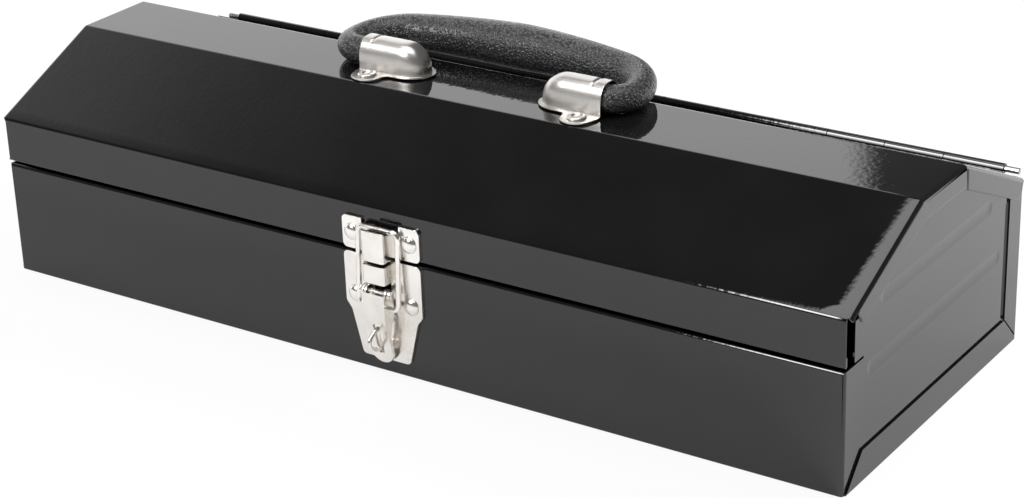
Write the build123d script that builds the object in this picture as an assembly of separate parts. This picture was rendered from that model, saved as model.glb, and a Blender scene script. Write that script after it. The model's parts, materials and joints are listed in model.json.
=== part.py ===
from build123d import *
import os
from math import atan, atan2, cos, degrees, hypot, radians, sin, tan

# A hip-roofed steel tool box, closed, standing on its bottom.
# X runs along the box, Y from its front to its back, Z up. The origin is the middle of its bottom face.

# Box
body_length = 406.0          # over the flanges lapped on the two ends
body_width = 150.0           # front wall to back wall
seam_height = 50.0           # top of the front wall
lip_gap = 1.5                # open seam between the front wall and the lid's lip
lip_height = 19.3            # lid's front lip, up to the eave
roof_rise = 25.4             # flat top of the lid above the eave
roof_flat = 38.0             # width of the flat top
sheet = 0.8                  # steel sheet of body and lid
fold_radius = 1.6            # outside radius of a long fold
roof_fold_radius = 2.6       # outside radius of the two roof folds
corner_radius = 1.4          # outside radius of the upright front corners
edge_round = 0.5             # softened outer edge of a flange

# Body
wall_hem = 5.0               # front wall folded back inside along its top
hem_round = 0.7
bottom_flange = 13.2         # lap of the bottom up the ends
back_flange = 11.2           # lap of the back wall round the ends
flange_lead = 12.5           # run of the front mitre of the bottom lap
mitre_gap = 0.5
slit_width = 1.0             # relief slit in the end panel at the seam
slit_length = 14.5
end_setback = 7.4            # upper front edge of the end panel behind the front wall
end_roof_gap = 0.6           # end panel below the lid sheet
bead_width = 6.4
bead_depth = 0.22
upper_bead_drop = 2.3        # upper bead below the eave
upper_bead_length = 96.0
lower_bead_drop = 6.0        # lower bead below the seam
lower_bead_length = 115.0
channel_width = 2.6          # pressed channel beside the back lap
channel_depth = 0.8
back_wall_gap = 0.6          # top of the back wall below the lid sheet

# Lid
lip_hem = 4.0                # lip folded back inside
lid_side_gap = 0.35          # lid flange outside the body laps
lip_inset = 2.0              # lip ends inside the lid flange's outer face
lid_flange = 9.2             # depth of the lid's end flanges
lid_flange_start = 5.5       # first end of the flange behind the lip
lid_flange_round = 3.5
lid_slit = 0.8               # slit in the end flange at the rear roof fold
lid_rear_gap = 0.5           # rear edge of the lid in front of the hinge leaf

# Piano hinge on the upper back edge
hinge_pin_diameter = 2.6
hinge_pin_length = 402.5
knuckle_diameter = 4.2
knuckle_count = 15
knuckle_gap = 0.4
hinge_length = 390.0
hinge_leaf = 0.8
hinge_leaf_width = 14.0
hinge_clearance = 0.05
hinge_offset = 1.4           # hinge axis behind the back wall
leaf_relief = 0.35           # leaf cut back from the other leaf's knuckles

# Carrying handle
handle_tilt = 89.0           # lying back, measured from upright
handle_slide = -2.0          # handle lies over to the left within its play
handle_reach = 69.0          # furthest point of the centre line from the middle
handle_bend = 7.5            # centre line radius of the small bend at the bracket
shoulder_bend = 22.0         # centre line radius of the shoulder
crown_angle = 10.0           # slope of the centre line where the crown begins
grip_end_diameter = 11.6
grip_middle_diameter = 19.4
grip_fullness = 1.2          # 1 swells evenly from shoulder to middle
grip_sections = 24
grip_in_bracket = 10.0       # length of grip inside a bracket
core_diameter = 6.0
core_stub = 9.0              # bare core beyond the grip
core_clearance = 0.03
handle_clearance = 0.5      # grip inside its bracket and above the lid

# Handle brackets
bracket_sheet = 1.0
bracket_outer_end = 59.3     # open end, from the middle of the box
bracket_nose = 26.8          # closed end
nose_length = 16.5
bracket_rim = 2.3            # flange beside the dome
ear_place = 51.5             # rivet ear along the box
ear_reach = 12.2             # rivet ear from the handle's axis
ear_radius = 6.4

# Draw latch, set out from the seam
latch_width = 37.4
plate = 1.3                  # sheet of the latch parts
keeper_rise = 1.5
keeper_height = 14.0
hook_width = 10.8
hook_depth = 7.4             # outer face of hook and bridge from the front wall
hook_rise = 0.6
hook_lip = 1.4               # lip above the lowest point of the bail's bar
bridge_drop = 1.0            # top of the bridge below the seam
bridge_height = 7.7
base_plate_length = 44.0
shoulder_drop = 22.0         # where the base plate begins to narrow
waist_drop = 25.2
waist_width = 32.4
toe_width = 23.0
plate_corner = 2.2
lever_pivot_drop = 13.2
lever_pivot_depth = 5.0
pivot_diameter = 2.4
pivot_head = 4.0
pivot_head_height = 0.7
pivot_head_gap = 0.15
pivot_ear_radius = 2.15
pin_clearance = 0.05
side_clearance = 0.25        # lever flange beside the pivot ear
lever_face_depth = 8.4       # outer face of the lever's upper half
lever_knee_drop = 23.0
lever_toe_depth = 4.6        # outer face at the lever's rounded end
lever_toe_drop = 39.0
lever_toe_radius = 5.5
lever_top_rise = 0.5         # top edge of the lever's face above its pivot
lever_web = 2.4              # flange material round the pivot and the bail holes
lever_web_drop = 32.0        # where the flange runs out
bail_wire = 2.2
bail_width = 19.2            # between wire centres
bail_rise = 13.1             # bar of the bail above the seam
bail_depth = 4.6             # wire centre from the front wall
bail_pivot_drop = 19.5
bail_lean = 3.5              # bar of the bail leans to the lid, in degrees
bail_bend = 2.6
bail_seat_gap = 0.3          # hook walls below the bail's bar
staple_thickness = 1.8
staple_drop = 38.6           # lower end of the staple below the seam
staple_height = 11.2
staple_reach = 13.0
staple_round = 4.4
eye_width = 5.0
eye_height = 7.4
slot_clearance = 0.6

# Rivets
rivet_clearance = 0.02
latch_rivet_head = 7.2
latch_rivet_dome = 1.7
latch_rivet_shank = 3.8
keeper_rivet_place = 13.9
keeper_rivet_rise = 8.7
base_rivet_place = 13.5
base_rivet_drop = 18.0
handle_rivet_head = 8.2
handle_rivet_dome = 1.3
handle_rivet_shank = 3.6
rivet_tail_height = 0.9
rivet_tail_spread = 1.0      # tail wider than the shank, on radius

# Worked out from the sizes above
half_length = body_length / 2
half_width = body_width / 2
roof_half = roof_flat / 2
lip_bottom = seam_height + lip_gap
eave_height = lip_bottom + lip_height
roof_height = eave_height + roof_rise
roof_slope = atan2(roof_height - eave_height, half_width - roof_half)
end_outer = half_length - sheet
end_inner = end_outer - sheet
corner_x = end_outer - corner_radius
corner_y = -half_width + corner_radius
lid_flange_inner = half_length + lid_side_gap
lid_half = lid_flange_inner + sheet
lip_half = lid_half - lip_inset
lid_rear = half_width - lid_rear_gap
hinge_y = half_width + hinge_offset
hinge_z = eave_height + (knuckle_diameter / 2 - hinge_offset * sin(roof_slope)) / cos(roof_slope)
front = -half_width
keeper_bottom = seam_height + keeper_rise
hook_bottom = seam_height + hook_rise
bridge_bottom = seam_height - bridge_drop - bridge_height
base_plate_bottom = seam_height - base_plate_length
shoulder_height = seam_height - shoulder_drop
waist_height = seam_height - waist_drop
lever_pivot_height = seam_height - lever_pivot_drop
lever_knee_height = seam_height - lever_knee_drop
lever_toe_height = seam_height - lever_toe_drop
lever_web_end = seam_height - lever_web_drop
bail_top_height = seam_height + bail_rise
bail_pivot_height = seam_height - bail_pivot_drop
staple_bottom = seam_height - staple_drop
keeper_rivet_height = seam_height + keeper_rivet_rise
base_rivet_height = seam_height - base_rivet_drop
hook_bar_low = bail_top_height - bail_wire / 2
hook_wall_top = hook_bar_low - bail_seat_gap
hook_top = hook_bar_low + hook_lip
lever_half = hook_width / 2
flange_inside = lever_half - plate
ear_inside = lever_half + side_clearance
ear_outside = ear_inside + plate
grip_end_radius = grip_end_diameter / 2
handle_axis_z = roof_height + grip_end_radius + handle_clearance


def roof_at(y, depth=0.0):
    """Height of the roof's outer face at y, or of a face that lies depth below it."""
    flat = roof_height - depth
    slope = roof_height - (abs(y) - roof_half) * tan(roof_slope) - depth / cos(roof_slope)
    return min(flat, slope)


def roof_corner(depth):
    """Distance from the middle to the roof fold on a face that lies depth below the outer one."""
    return roof_half - depth * tan(roof_slope / 2)


def block(x0, x1, y0, y1, z0, z1):
    centre = Pos((x0 + x1) / 2, (y0 + y1) / 2, (z0 + z1) / 2)
    return centre * Box(x1 - x0, y1 - y0, z1 - z0)


def end_plate(outline, x0, x1):
    """A flat plate square to X, with its outline drawn in Y and Z."""
    return extrude(Plane.YZ.offset(x0) * make_face(outline), x1 - x0)


def polygon(*points):
    return Polyline(*points, close=True)


def front_plate(sketch, y, thickness):
    """A flat plate square to Y, drawn in X and Z, whose back face is at y and which grows forward."""
    return extrude(Plane.XZ.offset(-y) * sketch, thickness)


def bent_sheet(points, radii, x0, x1, thickness):
    """A folded sheet whose outer face follows points in Y and Z and which runs along X."""
    line = FilletPolyline(*points, radius=radii)
    section = make_face(offset(line, amount=thickness, side=Side.RIGHT))
    return extrude(Plane.YZ.offset(x0) * section, x1 - x0)


def both_ends(part):
    return part + mirror(part, Plane.YZ)


def rod(start, end, radius):
    """A round bar between two points."""
    axis = Vector(*end) - Vector(*start)
    place = Plane(origin=start, z_dir=axis)
    return extrude(place * Circle(radius), axis.length)


def rivet(head, dome, shank, grip, tail_height):
    """A domed rivet along Z: its head sits on z = 0 and its shank goes down through the grip."""
    head_radius = head / 2
    ball_radius = (head_radius ** 2 + dome ** 2) / (2 * dome)
    cap = Pos(0, 0, dome - ball_radius) * Sphere(ball_radius)
    cap &= block(-head, head, -head, head, 0, 2 * dome)
    body = rod((0, 0, -grip), (0, 0, dome / 2), shank / 2)
    tail = rod((0, 0, -grip - tail_height), (0, 0, -grip), shank / 2 + rivet_tail_spread)
    return cap + body + tail


def pressed(panel, start, end, width, depth):
    """Press a round-ended groove of the given width and depth into the outer face of an end panel."""
    radius = (width ** 2 / 4 + depth ** 2) / (2 * depth)
    axis_x = end_outer + radius - depth
    first = (axis_x, start[0], start[1])
    last = (axis_x, end[0], end[1])

    def capsule(size):
        return rod(first, last, size) + Pos(*first) * Sphere(size) + Pos(*last) * Sphere(size)

    behind = block(end_inner - 2 * depth, end_outer, -half_width, half_width, 0, roof_height)
    return panel + (capsule(radius + sheet) & behind) - capsule(radius)


def end_panel():
    """The right end panel, which follows the roof and stays below it."""
    depth = sheet + end_roof_gap
    fold = roof_corner(depth)
    upper_front = front + end_setback
    back = half_width - sheet
    slit_top = seam_height + slit_width
    outline = polygon(
        (corner_y, sheet),
        (corner_y, seam_height),
        (front + slit_length, seam_height),
        (front + slit_length, slit_top),
        (upper_front, slit_top),
        (upper_front, roof_at(upper_front, depth)),
        (-fold, roof_height - depth),
        (fold, roof_height - depth),
        (back, roof_at(back, depth)),
        (back, sheet),
    )
    panel = end_plate(outline, end_inner, end_outer)
    for height, length in (
        (eave_height - upper_bead_drop, upper_bead_length),
        (seam_height - lower_bead_drop, lower_bead_length),
    ):
        reach = length / 2 - bead_width / 2
        panel = pressed(panel, (-reach, height), (reach, height), bead_width, bead_depth)
    channel_y = half_width - back_flange - channel_width / 2
    channel_low = (channel_y, bottom_flange + channel_width)
    channel_high = (channel_y, roof_at(channel_y, lid_flange + channel_width))
    return pressed(panel, channel_low, channel_high, channel_width, channel_depth)


def body_wrap():
    """Front wall, hemmed along its top, and the two end panels that it wraps into."""
    wall = block(-corner_x, corner_x, front, front + sheet, 0, seam_height)
    wall += block(-corner_x, corner_x, front, front + 2 * sheet, seam_height - wall_hem, seam_height)
    wall = fillet(wall.edges().filter_by(Axis.X).group_by(Axis.Z)[-1], hem_round)
    ring = rod((corner_x, corner_y, 0), (corner_x, corner_y, seam_height), corner_radius)
    ring -= rod((corner_x, corner_y, 0), (corner_x, corner_y, seam_height), corner_radius - sheet)
    ring &= block(corner_x, end_outer, front, corner_y, 0, seam_height)
    wrap = wall + both_ends(ring + end_panel())
    for x in (-base_rivet_place, base_rivet_place):
        wrap -= rivet_hole(x, base_rivet_height, latch_rivet_shank)
    return wrap


def rivet_hole(x, z, shank):
    """A hole through the front of the box and whatever is riveted to it."""
    return rod((x, front - hook_depth, z), (x, front + hook_depth, z), shank / 2 + rivet_clearance)


def rim_rounded(panel):
    """Round the lower edges of a panel's two end flanges."""
    rims = panel.edges().filter_by(Axis.Y).group_by(Axis.Z)[0]
    return fillet([e for e in rims if abs(e.center().X) > end_outer], edge_round)


def body_bottom():
    """Bottom panel, lapped up over the end panels on the outside."""
    rear = half_width - sheet
    bottom = block(-end_inner, end_inner, front + sheet, rear, 0, sheet)
    bottom = fillet(bottom.edges().filter_by(Axis.Z).group_by(Axis.Y)[0], corner_radius - sheet)
    strip = block(end_inner, half_length, corner_y, rear, 0, sheet)
    lap = polygon(
        (corner_y, 0),
        (corner_y + flange_lead, bottom_flange),
        (half_width - back_flange - mitre_gap, bottom_flange),
        (rear, bottom_flange - back_flange - mitre_gap + sheet),
        (rear, 0),
    )
    return rim_rounded(bottom + both_ends(strip + end_plate(lap, end_outer, half_length)))


def body_back():
    """Back wall, lapped forward over the end panels and mitred to the bottom's laps."""
    top = roof_at(half_width, sheet + back_wall_gap)
    wall = block(-half_length, half_length, half_width - sheet, half_width, 0, top)
    lap_y = half_width - back_flange
    lap = polygon(
        (lap_y, bottom_flange + mitre_gap),
        (half_width, bottom_flange - back_flange + mitre_gap),
        (half_width, top),
        (lap_y, roof_at(lap_y, sheet + end_roof_gap)),
    )
    return rim_rounded(wall + both_ends(end_plate(lap, end_outer, half_length)))


def lid_flange_plate():
    """The right end flange of the lid, slit at the rear roof fold."""
    under = sheet / 2
    outer = roof_corner(under)
    inner = roof_corner(lid_flange)
    start = front + lid_flange_start
    low_start = start + lid_flange * sin(roof_slope)
    rear = lid_rear - lid_flange_start / 2
    slit_y = roof_half + lid_slit
    front_part = FilletPolyline(
        (start, roof_at(start, under)),
        (-outer, roof_height - under),
        (outer, roof_height - under),
        (slit_y, roof_at(slit_y, under)),
        (slit_y, roof_at(slit_y, lid_flange)),
        (inner, roof_height - lid_flange),
        (-inner, roof_height - lid_flange),
        (low_start, roof_at(low_start, lid_flange)),
        radius=[0, 0, 0, 0, 0, 0, 0, lid_flange_round],
        close=True,
    )
    slit_end = slit_y + lid_slit
    rear_part = FilletPolyline(
        (slit_end, roof_at(slit_end, under)),
        (lid_rear, roof_at(lid_rear, under)),
        (rear, roof_at(rear, lid_flange)),
        (slit_end, roof_at(slit_end, lid_flange)),
        radius=[0, 0, lid_flange_round, 0],
        close=True,
    )
    plates = end_plate(front_part, lid_flange_inner, lid_half)
    return plates + end_plate(rear_part, lid_flange_inner, lid_half)


def lid_shell():
    """The lid: front lip, two slopes and a flat top, with flanges folded down over the ends."""
    roof = [(-roof_half, roof_height), (roof_half, roof_height), (lid_rear, roof_at(lid_rear))]
    lip = [(front, lip_bottom), (front, eave_height)]
    folds = [fold_radius, roof_fold_radius, roof_fold_radius]
    lid = bent_sheet(lip + roof, folds, -lip_half, lip_half, sheet)
    hem = block(-lip_half, lip_half, front + sheet, front + 2 * sheet, lip_bottom, lip_bottom + lip_hem)
    verge_start = front + fold_radius
    verge = [(verge_start, roof_at(verge_start))] + roof
    side = bent_sheet(verge, [roof_fold_radius, roof_fold_radius], lip_half, lid_half, sheet)
    lid = lid + hem + both_ends(side + lid_flange_plate())
    for x in (-keeper_rivet_place, keeper_rivet_place):
        lid -= rivet_hole(x, keeper_rivet_height, latch_rivet_shank)
    for x, y in handle_rivet_places(1) + handle_rivet_places(-1):
        radius = handle_rivet_shank / 2 + rivet_clearance
        lid -= rod((x, y, roof_height - 2 * sheet), (x, y, roof_height + sheet), radius)
    return lid


def knuckles(first):
    """Every second knuckle of the hinge, as pairs of ends along X."""
    pitch = hinge_length / knuckle_count
    starts = [-hinge_length / 2 + pitch * i for i in range(first, knuckle_count, 2)]
    return [(x + knuckle_gap / 2, x + pitch - knuckle_gap / 2) for x in starts]


def hinge_leaf_body():
    """Leaf on the outside of the back wall, with the odd knuckles."""
    radius = knuckle_diameter / 2
    half = hinge_length / 2
    top = hinge_z - radius - leaf_relief
    leaf = block(-half, half, half_width, half_width + hinge_leaf, top - hinge_leaf_width, top)
    for x0, x1 in knuckles(0):
        leaf += block(x0, x1, half_width, half_width + hinge_leaf, top, hinge_z)
        leaf += rod((x0, hinge_y, hinge_z), (x1, hinge_y, hinge_z), radius)
    bore = hinge_pin_diameter / 2 + hinge_clearance
    return leaf - rod((-half, hinge_y, hinge_z), (half, hinge_y, hinge_z), bore)


def hinge_leaf_lid():
    """Leaf on the rear slope of the lid, with the even knuckles."""
    radius = knuckle_diameter / 2
    half = hinge_length / 2
    along = Plane(origin=(0, hinge_y, hinge_z), x_dir=(1, 0, 0),
                  z_dir=(0, sin(roof_slope), cos(roof_slope)))
    near = radius + leaf_relief
    far = near + hinge_leaf_width
    leaf = block(-half, half, near, far, -radius, -radius + hinge_leaf)
    for x0, x1 in knuckles(1):
        leaf += block(x0, x1, 0, near, -radius, -radius + hinge_leaf)
        leaf += rod((x0, 0, 0), (x1, 0, 0), radius)
    leaf -= rod((-half, 0, 0), (half, 0, 0), hinge_pin_diameter / 2 + hinge_clearance)
    return along * Rot(0, 0, 0) * mirror(leaf, Plane.XZ)


def hinge_pin():
    half = hinge_pin_length / 2
    pin = rod((-half, hinge_y, hinge_z), (half, hinge_y, hinge_z), hinge_pin_diameter / 2)
    return fillet(pin.edges(), hinge_pin_diameter / 6)


def handle_lines(inner_end):
    """Centre line of the upright handle, piece by piece, with its pivot line at z = 0."""
    crown = radians(crown_angle)
    crown_x = handle_reach - shoulder_bend + shoulder_bend * sin(crown)
    run = Line((inner_end, 0), (handle_reach - handle_bend, 0))
    bend = JernArc(run @ 1, run % 1, handle_bend, 90)
    shoulder = JernArc(bend @ 1, bend % 1, shoulder_bend, 90 - crown_angle)
    top = JernArc(shoulder @ 1, shoulder % 1, crown_x / sin(crown), 2 * crown_angle)
    far_shoulder = JernArc(top @ 1, top % 1, shoulder_bend, 90 - crown_angle)
    far_bend = JernArc(far_shoulder @ 1, far_shoulder % 1, handle_bend, 90)
    far_run = Line(far_bend @ 1, (-inner_end, 0))
    return [run, bend, shoulder, top, far_shoulder, far_bend, far_run]


def upright(lines):
    return Plane.XZ * Wire(lines)


def round_bar(path, radius):
    """A round bar along a path."""
    start = Plane(origin=path @ 0, z_dir=path % 0)
    return sweep(start * Circle(radius), path=path)


def laid_back(part):
    """Lay the upright handle back about its pivot line."""
    return Pos(handle_slide, 0, handle_axis_z) * Rot(-handle_tilt, 0, 0) * part


def grip_radius(share):
    """Radius of the grip at a share of the way from shoulder to shoulder."""
    rise = 1 - abs(2 * share - 1)
    swell = 1 - (1 - rise) ** grip_fullness
    return grip_end_radius + (grip_middle_diameter / 2 - grip_end_radius) * swell


def handle_grip():
    """Soft grip moulded round the core, slim at its two bends and thickest in the middle."""
    lines = handle_lines(bracket_outer_end - grip_in_bracket)
    path = upright(lines[2:5])
    sections = []
    for i in range(grip_sections + 1):
        share = i / grip_sections
        place = Plane(origin=path @ share, x_dir=(0, 1, 0), z_dir=path % share)
        sections.append(place * Circle(grip_radius(share)))
    grip = loft(sections)
    grip += round_bar(upright(lines[:2]), grip_end_radius)
    grip += round_bar(upright(lines[5:]), grip_end_radius)
    return laid_back(grip - core_solid(core_diameter / 2 + core_clearance))


def core_solid(radius):
    return round_bar(upright(handle_lines(bracket_outer_end - grip_in_bracket - core_stub)), radius)


def handle_core():
    """Steel rod inside the grip, whose bare ends lie in the brackets."""
    return laid_back(core_solid(core_diameter / 2))


def dome_section(x, half, height, base):
    """Arched section of a bracket's dome, square to X."""
    arch = base + height - half
    sides = [Line((-half, base), (half, base)), Line((half, base), (half, arch))]
    crown = ThreePointArc((half, arch), (0, arch + half), (-half, arch))
    outline = Curve() + sides + [crown, Line((-half, arch), (-half, base))]
    return Plane.YZ.offset(x) * make_face(outline)


def dome(half, height, base, nose):
    """A tunnel open at the bracket's outer end whose other end comes down to the lid."""
    shoulder = nose + nose_length
    tunnel = extrude(dome_section(shoulder, half, height, base), bracket_outer_end - shoulder)
    sections = []
    for turn in (0, 28, 52, 72, 84):
        fall = cos(radians(turn))
        x = shoulder - nose_length * sin(radians(turn))
        width = half * (0.5 + 0.5 * fall)
        sections.append(dome_section(x, width, max(height * fall, width * 1.02), base))
    return tunnel + loft(sections)


def handle_bracket_right():
    """Stamped half-dome that holds one end of the handle down on the lid."""
    inner_half = grip_end_radius + handle_clearance
    inner_height = handle_axis_z - roof_height + inner_half
    outer_half = inner_half + bracket_sheet
    outer_height = inner_height + bracket_sheet
    nose = bracket_nose + bracket_rim
    rim_half = outer_half + bracket_rim
    foot = Pos((nose + rim_half + bracket_outer_end) / 2, 0) * Rectangle(
        bracket_outer_end - nose - rim_half, 2 * rim_half)
    toe_length = nose + rim_half - bracket_nose
    foot += Pos(nose + rim_half, 0) * Ellipse(toe_length, rim_half)
    for side in (-1, 1):
        foot += Pos(ear_place, side * ear_reach) * Circle(ear_radius)
        foot += Pos(ear_place, side * ear_reach / 2) * Rectangle(2 * ear_radius, ear_reach)
    flange = Pos(0, 0, roof_height) * extrude(foot, bracket_sheet)
    shell = dome(outer_half, outer_height, roof_height, nose)
    hollow = dome(inner_half, inner_height, roof_height, nose + bracket_sheet)
    bracket = flange + shell - hollow
    for x, y in handle_rivet_places(1):
        hole = rod((x, y, roof_height - sheet), (x, y, roof_height + 2 * sheet + bracket_sheet),
                   handle_rivet_shank / 2 + rivet_clearance)
        bracket -= hole
    return bracket


def handle_rivet_places(side):
    return [(side * ear_place, -ear_reach), (side * ear_place, ear_reach)]


def handle_rivets(side):
    """The two rivets of one bracket."""
    grip = bracket_sheet + sheet
    one = rivet(handle_rivet_head, handle_rivet_dome, handle_rivet_shank, grip, rivet_tail_height)
    top = roof_height + bracket_sheet
    return Compound([Pos(x, y, top) * one for x, y in handle_rivet_places(side)])


def latch_rivets(place, height):
    """A pair of rivets through a latch plate and the sheet behind it, heads to the front."""
    grip = plate + sheet
    one = rivet(latch_rivet_head, latch_rivet_dome, latch_rivet_shank, grip, rivet_tail_height)
    forward = Rot(90, 0, 0)
    return Compound([Pos(x, front - plate, height) * forward * one for x in (-place, place)])


def formed_strip(bottom, height):
    """A strip of the plate pushed forward into a bridge, open at its top and bottom."""
    half = hook_width / 2
    face = front - hook_depth
    top = bottom + height
    strip = block(-half, half, face, front, bottom, top)
    strip = fillet(strip.edges().filter_by(Axis.Z).group_by(Axis.Y)[0], plate)
    return strip - block(-half + plate, half - plate, face + plate, front, bottom, top)


def keeper_plate():
    """Plate on the lid: two riveted ears joined by a hook that the bail's bar drops behind."""
    half = hook_width / 2
    ears = Pos(0, keeper_bottom + keeper_height / 2) * RectangleRounded(
        latch_width, keeper_height, plate_corner)
    top = keeper_bottom + keeper_height
    ears -= Pos(0, (hook_wall_top + top) / 2) * Rectangle(bail_width - bail_wire / 2, top - hook_wall_top)
    ears -= Pos(0, keeper_bottom + keeper_height / 2) * Rectangle(hook_width - 2 * plate, keeper_height)
    hook = formed_strip(hook_bottom, hook_top - hook_bottom)
    hook -= block(-half, half, front - hook_depth + plate, front, hook_wall_top, hook_top)
    keeper = front_plate(ears, front, plate) + hook
    for x in (-keeper_rivet_place, keeper_rivet_place):
        keeper -= rivet_hole(x, keeper_rivet_height, latch_rivet_shank)
    return keeper


def latch_base_plate():
    """Plate on the front wall with a raised bridge and the two ears of the lever's pivot."""
    outline = FilletPolyline(
        (-latch_width / 2, seam_height),
        (-latch_width / 2, shoulder_height),
        (-waist_width / 2, waist_height),
        (-toe_width / 2, base_plate_bottom),
        (toe_width / 2, base_plate_bottom),
        (waist_width / 2, waist_height),
        (latch_width / 2, shoulder_height),
        (latch_width / 2, seam_height),
        radius=plate_corner,
        close=True,
    )
    ear_low = lever_pivot_height - pivot_ear_radius
    ear_high = lever_pivot_height + pivot_ear_radius
    window = Pos(0, (ear_low + seam_height) / 2) * Rectangle(hook_width - 2 * plate, seam_height - ear_low)
    base = front_plate(make_face(outline) - window, front, plate)
    base += formed_strip(bridge_bottom, bridge_height)
    axis_y = front - lever_pivot_depth
    ear = block(ear_inside, ear_outside, axis_y, front, ear_low, ear_high)
    ear += rod((ear_inside, axis_y, lever_pivot_height), (ear_outside, axis_y, lever_pivot_height),
               pivot_ear_radius)
    base += both_ends(ear)
    base -= rod((-ear_outside, axis_y, lever_pivot_height), (ear_outside, axis_y, lever_pivot_height),
                pivot_diameter / 2 + rivet_clearance)
    for x in (-base_rivet_place, base_rivet_place):
        base -= rivet_hole(x, base_rivet_height, latch_rivet_shank)
    return base


def lever_face_at(z):
    """Depth of the lever's outer face, in front of the wall, at height z."""
    share = (lever_knee_height - z) / (lever_knee_height - lever_toe_height)
    return lever_face_depth - max(0.0, share) * (lever_face_depth - lever_toe_depth)


def latch_lever():
    """Lever that draws the bail down: a folded channel that runs out to a flat rounded toe."""
    top = lever_pivot_height + lever_top_rise
    toe_low = lever_toe_height - lever_toe_radius
    face_line = [
        (front - lever_face_at(toe_low), toe_low),
        (front - lever_face_depth, lever_knee_height),
        (front - lever_face_depth, top),
    ]
    face = bent_sheet(face_line, [fold_radius], -lever_half, lever_half, plate)
    web_back = bail_depth - lever_web
    web = polygon(
        (front - lever_face_depth, top),
        (front - lever_face_depth, lever_knee_height),
        (front - lever_face_at(lever_web_end), lever_web_end),
        (front - lever_face_at(lever_web_end) + plate, lever_web_end),
        (front - web_back, bail_pivot_height - lever_web),
        (front - web_back, lever_pivot_height),
    )
    axis_y = front - lever_pivot_depth
    flange = end_plate(web, flange_inside, lever_half)
    flange += rod((flange_inside, axis_y, lever_pivot_height), (lever_half, axis_y, lever_pivot_height), lever_web)
    lever = face + both_ends(flange)
    outline = Pos(0, (top + lever_knee_height) / 2) * Rectangle(2 * lever_half, top - lever_knee_height + 2)
    taper = polygon(
        (-lever_half, lever_knee_height),
        (lever_half, lever_knee_height),
        (lever_toe_radius, lever_toe_height),
        (-lever_toe_radius, lever_toe_height),
    )
    outline += make_face(taper) + Pos(0, lever_toe_height) * Circle(lever_toe_radius)
    above = Pos(0, top + lever_web) * Rectangle(2 * lever_half, 2 * lever_web)
    lever &= front_plate(outline + above, front, 2 * lever_face_depth)
    slot_low, slot_high = slot_heights()
    slot_half = staple_thickness / 2 + slot_clearance
    slot = Pos(0, (slot_low + slot_high) / 2) * SlotOverall(slot_high - slot_low, 2 * slot_half, rotation=90)
    lever -= front_plate(slot, front, 2 * lever_face_depth)
    pivot_bore = pivot_diameter / 2 + pin_clearance
    lever -= rod((-lever_half, axis_y, lever_pivot_height), (lever_half, axis_y, lever_pivot_height), pivot_bore)
    bail_y = front - bail_depth
    lever -= rod((-lever_half, bail_y, bail_pivot_height), (lever_half, bail_y, bail_pivot_height),
                 bail_wire / 2 + pin_clearance)
    return lever


def slot_heights():
    """Lowest and highest point of the lever's slot, which swings past the staple about the pivot."""
    staple_top = staple_bottom + staple_height
    near = lever_pivot_height - staple_top
    far = hypot(lever_pivot_height - staple_bottom, staple_reach / 2)
    slot_end = staple_thickness / 2 + slot_clearance
    high = lever_pivot_height - near + slot_end
    low = lever_pivot_height - far - slot_end / 2
    return low, high


def lever_pivot_pin():
    """Pin through the two ears of the base plate and the lever, with a head at each end."""
    axis_y = front - lever_pivot_depth
    inside = ear_outside + pivot_head_gap
    outside = inside + pivot_head_height
    pin = rod((-outside, axis_y, lever_pivot_height), (outside, axis_y, lever_pivot_height), pivot_diameter / 2)
    head = rod((inside, axis_y, lever_pivot_height), (outside, axis_y, lever_pivot_height), pivot_head / 2)
    return pin + both_ends(head)


def latch_bail():
    """Wire loop: its bar lies behind the hook and its turned-in ends pivot in the lever."""
    half = bail_width / 2
    tip = flange_inside + pin_clearance
    line = FilletPolyline(
        (tip, bail_pivot_height),
        (half, bail_pivot_height),
        (half, bail_top_height),
        (-half, bail_top_height),
        (-half, bail_pivot_height),
        (-tip, bail_pivot_height),
        radius=bail_bend,
    )
    path = Plane.XZ.offset(bail_depth - front) * Wire(line.edges())
    pivot = Axis((0, front - bail_depth, bail_pivot_height), (1, 0, 0))
    return round_bar(path, bail_wire / 2).rotate(pivot, -bail_lean)


def padlock_staple():
    """Eye on the base plate that stands through the lever's slot."""
    y0 = front - plate
    y1 = front - staple_reach
    z0 = staple_bottom
    z1 = staple_bottom + staple_height
    outline = FilletPolyline(
        (y0, z0), (y0, z1), (y1, z1), (y1, z0),
        radius=[0, 0, staple_round, staple_round], close=True)
    half = staple_thickness / 2
    loop = end_plate(outline, -half, half)
    wall = (staple_height - eye_height) / 2
    eye_y = y1 + wall + eye_width / 2
    eye = Pos(eye_y, (z0 + z1) / 2) * SlotOverall(eye_height, eye_width, rotation=90)
    return loop - extrude(Plane.YZ.offset(-half) * eye, staple_thickness)


nodes = {
    "body_wrap": body_wrap(),
    "body_bottom": body_bottom(),
    "body_back": body_back(),
    "lid_shell": lid_shell(),
    "hinge_leaf_body": hinge_leaf_body(),
    "hinge_leaf_lid": hinge_leaf_lid(),
    "hinge_pin": hinge_pin(),
    "handle_grip": handle_grip(),
    "handle_core": handle_core(),
    "handle_bracket_right": handle_bracket_right(),
    "handle_bracket_left": mirror(handle_bracket_right(), Plane.YZ),
    "handle_rivets_right": handle_rivets(1),
    "handle_rivets_left": handle_rivets(-1),
    "keeper_plate": keeper_plate(),
    "keeper_rivets": latch_rivets(keeper_rivet_place, keeper_rivet_height),
    "latch_base_plate": latch_base_plate(),
    "latch_base_rivets": latch_rivets(base_rivet_place, base_rivet_height),
    "latch_lever": latch_lever(),
    "lever_pivot_pin": lever_pivot_pin(),
    "latch_bail": latch_bail(),
    "padlock_staple": padlock_staple(),
}

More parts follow.
